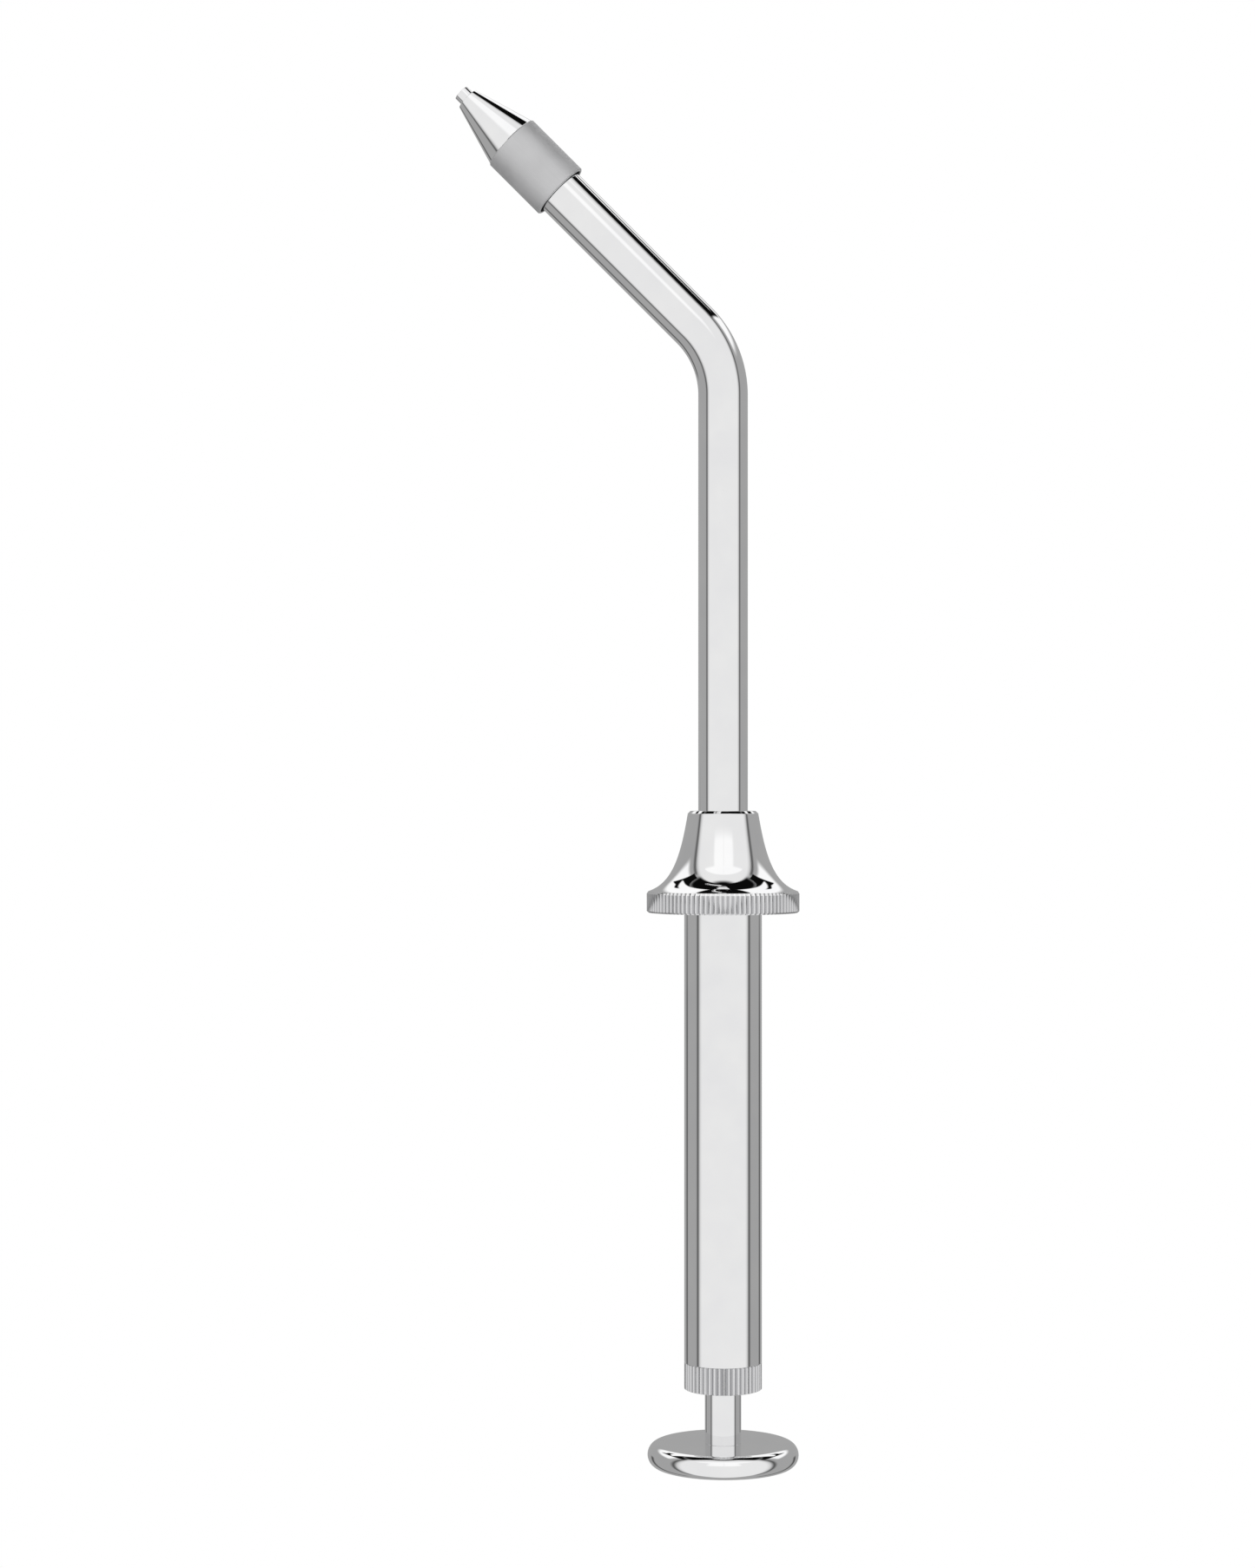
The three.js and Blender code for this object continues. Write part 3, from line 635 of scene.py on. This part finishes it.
def wound_coil(name, low, high, round_steps=20):
    """A close-wound coil, drawn as one wire: its middle line is a helix of radius m and pitch p about the tube's
    line, and a round section with n points is carried along it. A grid of helix steps by section points."""
    pitch = COIL_WIRE + 0.01
    middle = COIL_D / 2 - COIL_WIRE / 2
    turns = (high - low - COIL_WIRE) / pitch
    h = np.linspace(0, 2 * np.pi * turns, int(turns * round_steps) + 1)[:, None]
    t = -even_angles(7)[None, :]
    r = middle + COIL_WIRE / 2 * np.cos(t)
    z = low + COIL_WIRE / 2 + pitch * h / (2 * np.pi) + COIL_WIRE / 2 * np.sin(t)
    wire = np.stack([r * np.cos(h), r * np.sin(h), z], -1)
    ends = [np.broadcast_to(wire[k].mean(0), wire[k].shape)[None] for k in (0, -1)]
    wire = np.concatenate([ends[0], wire, ends[1]])
    rows = len(wire)
    return make_mesh(name, wire, np.zeros(wire.shape[:2]), along_tube, False, np.zeros(rows, int), [WIRE], 80)


def stranded_core(name, low, high, bends=False):
    """A stranded core: six wires of radius w laid round a seventh. The outline's radius at an angle f from the
    nearest wire's middle is 2 w cos f + the root of w squared - (2 w sin f) squared, and it twists with height."""
    w, lay_length = CORE_D / 6, 9.0
    places = np.linspace(low, high, max(2, int((high - low) / 0.6) + 1))
    outline = np.array([(0, low, 0), *[(CORE_D / 2, s, 0) for s in places], (0, high, 0)])

    def strands(r, z, a):
        f = (a - 2 * np.pi * z / lay_length + np.pi / 6) % (np.pi / 3) - np.pi / 6
        wire = 2 * w * np.cos(f) + np.sqrt(np.maximum(w**2 - (2 * w * np.sin(f)) ** 2, 0))
        return np.where(r > 0, wire, r)

    return turn_piece(name, outline, [WIRE], 48, strands, along_tube, 80)


# ---------------------------------------------------------------- needle and its guides


def needle():
    """The needle: a ground rod with a small chamfer round its flat tip."""
    r, tip = NEEDLE_D / 2, ARM + NEEDLE_TIP
    start = ARM + NEEDLE_FROM
    outline = profile((0, start), (r - 0.1, start), (r, start + 0.1), (r, tip, 0.05), (0, tip))
    return turn_piece("needle_ground", outline, [MIRROR], 72, place=along_tube)


def needle_ferrule():
    """A crimp ferrule between the shaft and the needle. It is squeezed in at three bands: each lowers the radius by
    a bell curve of the height, a little deeper at six places round."""
    r, low, step, high = FERRULE_D / 2, FERRULE_BASE, FERRULE_STEP, FERRULE_TOP
    on_shaft, on_needle = COIL_D / 2 + 0.05, NEEDLE_BORE / 2
    outline = profile(
        (on_shaft, low, 0.05), (r, low, 0.05), *[(r, z) for z in np.linspace(low + 0.2, high - 0.2, 40)],
        (r, high, 0.05), (on_needle, high, 0.05), (on_needle, step), (on_shaft, step),
    )

    def crimps(wall, z, a):
        bands = sum(np.exp(-(((z - c) / 0.22) ** 2)) for c in CRIMPS)
        return np.where(np.abs(wall - r) < 1e-6, wall - 0.07 * bands * (0.8 + 0.2 * np.cos(6 * a)), wall)

    return turn_piece("needle_ferrule_crimped", outline, [TURNED], 72, crimps, along_tube)


# ---------------------------------------------------------------- nozzle


def nozzle():
    """The nozzle: an open skirt round the tube, a tapped bore, a collar with a very fine straight knurl and a
    polished cone down to the needle."""
    r, bore, tap, skirt = NOZZLE_D / 2, NEEDLE_BORE / 2, TUBE_D / 2 + 0.05, 6.75 / 2
    at = lambda s: ARM + s
    outline = profile(
        (skirt, at(COLLAR_BASE), 0.03, 2), (r - 0.12, at(COLLAR_BASE), 0, 1), (r, at(COLLAR_BASE + 0.12), 0, 1),
        (r, at(CONE_BASE - 0.08), 0, 1), (r - 0.08, at(CONE_BASE), 0, 0), (r - 0.13, at(CONE_BASE) + 0.04),
        (CONE_TIP_D / 2, at(CONE_TIP), 0.06), (bore, at(CONE_TIP), 0.05, 2), (bore, at(SHOULDER), 0, 2),
        (tap, at(SHOULDER), 0, 2), *[(*p, 0, 2) for p in run(tap, at(SHOULDER - 0.1), at(SKIRT_TOP + 0.02))],
        (tap, at(SKIRT_TOP), 0, 2), (skirt, at(SKIRT_TOP), 0, 2),
    )
    carve = both(
        knurl(COLLAR_TEETH, 0.006, at(COLLAR_BASE + 0.05), at(CONE_BASE - 0.05), 3.6, 0.3, 0.3),
        thread(tap, at(SKIRT_TOP), at(SHOULDER - 0.1), 0.25, 0.5),
    )
    angles = tooth_angles(COLLAR_TEETH, [-0.15, 0.15, 0.35, 0.65])
    return turn_piece("nozzle_polished", outline, [MIRROR, BLASTED, TURNED], angles, carve, along_tube)


# ---------------------------------------------------------------- assembly

settle(palm_disc(), "plunger", "polished_steel", "palm_disc")
settle(plunger_rod(), "plunger", "polished_steel", "plunger_rod")
settle(guide_piston(), "plunger", "satin_steel", "guide_piston")
settle(moulded_ring("guide_oring_moulded", *GUIDE_ORING), "plunger_carriage", "seal_rubber", "guide_oring")
settle(shaft_pin(), "plunger", "satin_steel", "shaft_pin")
settle(stop_collar(), "plunger", "satin_steel", "stop_collar")
settle(collar_screw(), "plunger", "satin_steel", "collar_screw")
settle(end_cap(), "cap", "satin_steel", "end_cap")
settle(turn_piece("cap_bush_turned", ring(*CAP_BUSH), [PTFE], 96), "cap", "ptfe", "cap_bush")
settle(moulded_ring("rod_wiper_moulded", *ROD_WIPER), "cap_carriage", "seal_rubber", "rod_wiper")
settle(barrel(), "handle", "polished_steel", "barrel")
settle(finger_flange(), "handle", "polished_steel", "finger_flange")
settle(curved_tube(), "handle", "polished_steel", "curved_tube")
settle(guide_liner(), "handle", "ptfe", "guide_liner")
settle(tube_ferrule(), "handle", "satin_steel", "tube_ferrule")
settle(turn_piece("stop_bumper_turned", ring(*STOP_BUMPER), [PTFE], 96), "handle", "ptfe", "stop_bumper")

settle(needle(), "needle", "polished_steel", "needle")
settle(needle_ferrule(), "needle", "satin_steel", "needle_ferrule")
bush = turn_piece("needle_bush_turned", ring(*NEEDLE_BUSH), [PTFE], 72, place=along_tube)
settle(bush, "needle_carriage", "ptfe", "needle_bush")
guide = turn_piece("needle_guide_turned", ring(*NEEDLE_GUIDE), [TURNED], 72, place=along_tube)
settle(guide, "handle", "satin_steel", "needle_guide")
settle(nozzle(), "nozzle", "polished_steel", "nozzle")
seal = turn_piece("nozzle_seal_punched", ring(*NOZZLE_SEAL), [PTFE], 72, place=along_tube)
settle(seal, "nozzle_carriage", "ptfe", "nozzle_seal")

# The flexible shaft runs through the bend, where the handle holds it. The rear and front lengths are laid in place
# once and stand for their CAD nodes; the carriage and the two places given with each are not used.
coil_bend = wound_coil("flex_coil_in_bend", BEND_BASE, ARM)
settle(coil_bend, "handle", "spring_steel", "flex_coil_bend")
settle(stranded_core("flex_core_in_bend", BEND_BASE, ARM), "handle", "spring_steel", "flex_core_bend")
for piece, node, carriage, start, end in (
    (wound_coil("flex_coil_to_rod", *REAR), "flex_coil_rear", "plunger_carriage", BEND_BASE - 1, 62),
    (stranded_core("flex_core_to_rod", *REAR), "flex_core_rear", "plunger_carriage", BEND_BASE - 1, 62),
    (wound_coil("flex_coil_to_needle", *FRONT), "flex_coil_front", "needle_carriage", ARM + 0.5, ARM + 15),
    (stranded_core("flex_core_to_needle", *FRONT), "flex_core_front", "needle_carriage", ARM + 0.5, ARM + 15),
):
    start, end = ((along_tube(np.array([0, 0, s])) * MM).tolist() for s in (start, end))
    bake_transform(piece)
    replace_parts(piece, node)

# ---------------------------------------------------------------- studio


STEEL_MIRRORS = 0.9  # the share of the light that polished steel gives back


def lit(level):
    """The colour of a light that a polished steel face shows as this sRGB grey level, 0 to 255."""
    s = level / 255
    light = (s / 12.92 if s <= 0.04045 else ((s + 0.055) / 1.055) ** 2.4) / STEEL_MIRRORS
    return light, light, light, 1.0


# The tones of the studio's surfaces, as the grey levels that polished steel shows of them.
WHITE, PALE, GREY, DARK, BLACK = 250, 230, 160, 80, 10

# The light all round is GREY. Panels with soft edges are painted over it in turn, the same on the left and on the
# right. Each holds between two angles from the front and between two heights, and where it has them, below a top
# edge that runs level across the front or back, and above a bottom edge that runs level along the side: from and to
# angle, from and to height, top, bottom, softness, tone. A limit beyond the range leaves no soft edge there.
PANELS = (
    (-30, 75, -120, 80, None, None, 6, PALE),  # front wall
    (100, 210, 27, 55, None, None, 4, WHITE),  # high window behind
    (75, 210, 57, 120, None, None, 4, BLACK),  # dark ceiling behind the front wall
    (-30, 210, 80, 120, None, None, 6, BLACK),  # dark ceiling overhead
    (79, 86, -60, 50, None, None, 3, DARK),  # gap between the front and side walls
    (132, 142, -60, -2, None, None, 3, DARK),  # gap between the side and back walls
    (-1, 27, 23, 50, None, None, 3, WHITE),  # front window
    (-1, 54, 46, 90, 62, None, 2, WHITE),  # front overhead light
    (86, 144, -90, 57, None, 46, 1, BLACK),  # flag over the side wall, down to its level bottom edge
    (142, 155, 39, 57, None, None, 1, BLACK),  # the flag's far end
    (124, 181, 44, 90, 62, None, 1.5, WHITE),  # back overhead light
)


def studio_light():
    """A white room for the eye, and for everything that the steel mirrors a room of soft walls, panels and black
    flags. Both depend on direction alone: angle from the front, and height above the horizon."""
    world = bpy.data.worlds.new("studio")
    bpy.context.scene.world = world
    world.use_nodes = True
    tree = world.node_tree
    tree.nodes.clear()

    def sums(kind, a, b=0.0):
        return add(tree, "ShaderNodeMath", {0: a, 1: b}, operation=kind).outputs[0]

    towards = add(tree, "ShaderNodeTexCoord").outputs["Generated"]
    xyz = add(tree, "ShaderNodeSeparateXYZ", {0: towards}).outputs
    side = sums("ABSOLUTE", xyz[0])
    angle = sums("DEGREES", sums("ARCTAN2", side, sums("MULTIPLY", xyz[1], -1.0)))
    height = sums("DEGREES", sums("ARCSINE", xyz[2]))

    colour = lit(GREY)

    def edge(value, at, soft, rising=True):
        low, high = (0.0, 1.0) if rising else (1.0, 0.0)
        settings = {"Value": value, "From Min": at - soft, "From Max": at + soft, "To Min": low, "To Max": high}
        return add(tree, "ShaderNodeMapRange", settings, interpolation_type="SMOOTHSTEP").outputs[0]

    across = sums("DEGREES", sums("ARCTAN2", xyz[2], sums("ABSOLUTE", xyz[1])))
    beside = sums("DEGREES", sums("ARCTAN2", xyz[2], side))
    for a0, a1, h0, h1, top, bottom, soft, shade in PANELS:
        mask = sums("MULTIPLY", edge(angle, a0, 1.5 * soft), edge(angle, a1, 1.5 * soft, False))
        mask = sums("MULTIPLY", mask, sums("MULTIPLY", edge(height, h0, soft), edge(height, h1, soft, False)))
        if top is not None:
            mask = sums("MULTIPLY", mask, edge(across, top, soft, False))
        if bottom is not None:
            mask = sums("MULTIPLY", mask, edge(beside, bottom, soft))
        colour = blend(tree, mask, colour, lit(shade))
    seen = add(tree, "ShaderNodeLightPath").outputs["Is Camera Ray"]
    light = add(tree, "ShaderNodeBackground", {"Color": blend(tree, seen, colour, (1, 1, 1, 1))})
    add(tree, "ShaderNodeOutputWorld", {"Surface": light.outputs[0]})


def pale_floor():
    """A plain white sheet, lit so evenly that it keeps no shadow. It lies lower than the palm disc by the
    plunger's stroke, so that it never hides the disc when the plunger is drawn back."""
    bpy.ops.mesh.primitive_plane_add(size=6, location=(0, 0, -(STROKE + 1.0) * MM))
    floor = bpy.context.object
    floor.name = "floor"
    material = bpy.data.materials.new("white_studio_sheet")
    material.use_nodes = True
    material.node_tree.nodes.clear()
    sheet = add(material.node_tree, "ShaderNodeEmission", {"Color": (1, 1, 1, 1), "Strength": 1.0})
    add(material.node_tree, "ShaderNodeOutputMaterial", {"Surface": sheet.outputs[0]})
    floor.data.materials.append(material)
    floor.visible_glossy = floor.visible_diffuse = floor.visible_shadow = floor.visible_transmission = False


def camera():
    """A level camera 385 mm in front of the barrel, a little above the trumpet."""
    eye = bpy.data.objects.new("camera", bpy.data.cameras.new("camera"))
    bpy.context.scene.collection.objects.link(eye)
    eye.location = (-0.01158, -0.385, 0.08266)
    eye.rotation_euler = (math.pi / 2, 0, 0)
    eye.data.lens, eye.data.sensor_width = 72.9, 36
    eye.data.clip_start, eye.data.clip_end = 0.01, 20
    bpy.context.scene.camera = eye


studio_light()
pale_floor()
camera()
bpy.context.scene.view_settings.view_transform = "Standard"
